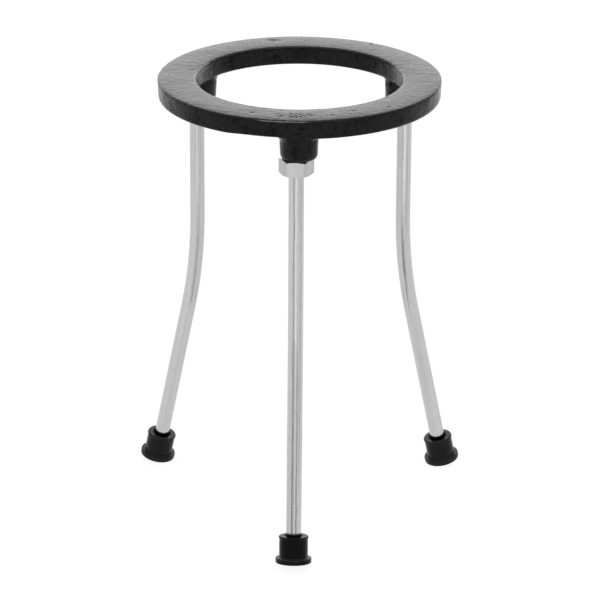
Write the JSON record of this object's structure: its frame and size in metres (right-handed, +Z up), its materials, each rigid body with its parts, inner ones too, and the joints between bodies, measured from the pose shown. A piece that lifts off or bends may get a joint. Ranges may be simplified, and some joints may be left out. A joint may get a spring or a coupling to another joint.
{
  "type": "lab tripod stand",
  "caption": "Laboratory tripod stand: a flat cast-iron ring with bosses beneath it, carried on bent plated rods with hexagon lock nuts and flanged rubber feet.",
  "frame": {"origin": "on the axis of the ring, at the level of the bench on which the three feet stand", "axes": "+Z up along the axis of the ring, -Y towards the front leg, +X to the right of someone who faces that leg"},
  "size_m": [0.1668, 0.1649, 0.2245],
  "materials": {
    "painted_casting": "black enamel over a sand casting, semi-gloss",
    "plated_rod": "drawn rod, satin zinc plate",
    "plated_nut": "satin zinc plate",
    "foot_rubber": "moulded black rubber, slightly glossy"
  },
  "bodies": {
    "root": {"ring": "painted_casting", "leg_front": "plated_rod", "leg_right": "plated_rod", "leg_left": "plated_rod", "lock_nut_front": "plated_nut", "lock_nut_right": "plated_nut", "lock_nut_left": "plated_nut", "foot_front": "foot_rubber", "foot_right": "foot_rubber", "foot_left": "foot_rubber"}
  },
  "joints": []
}
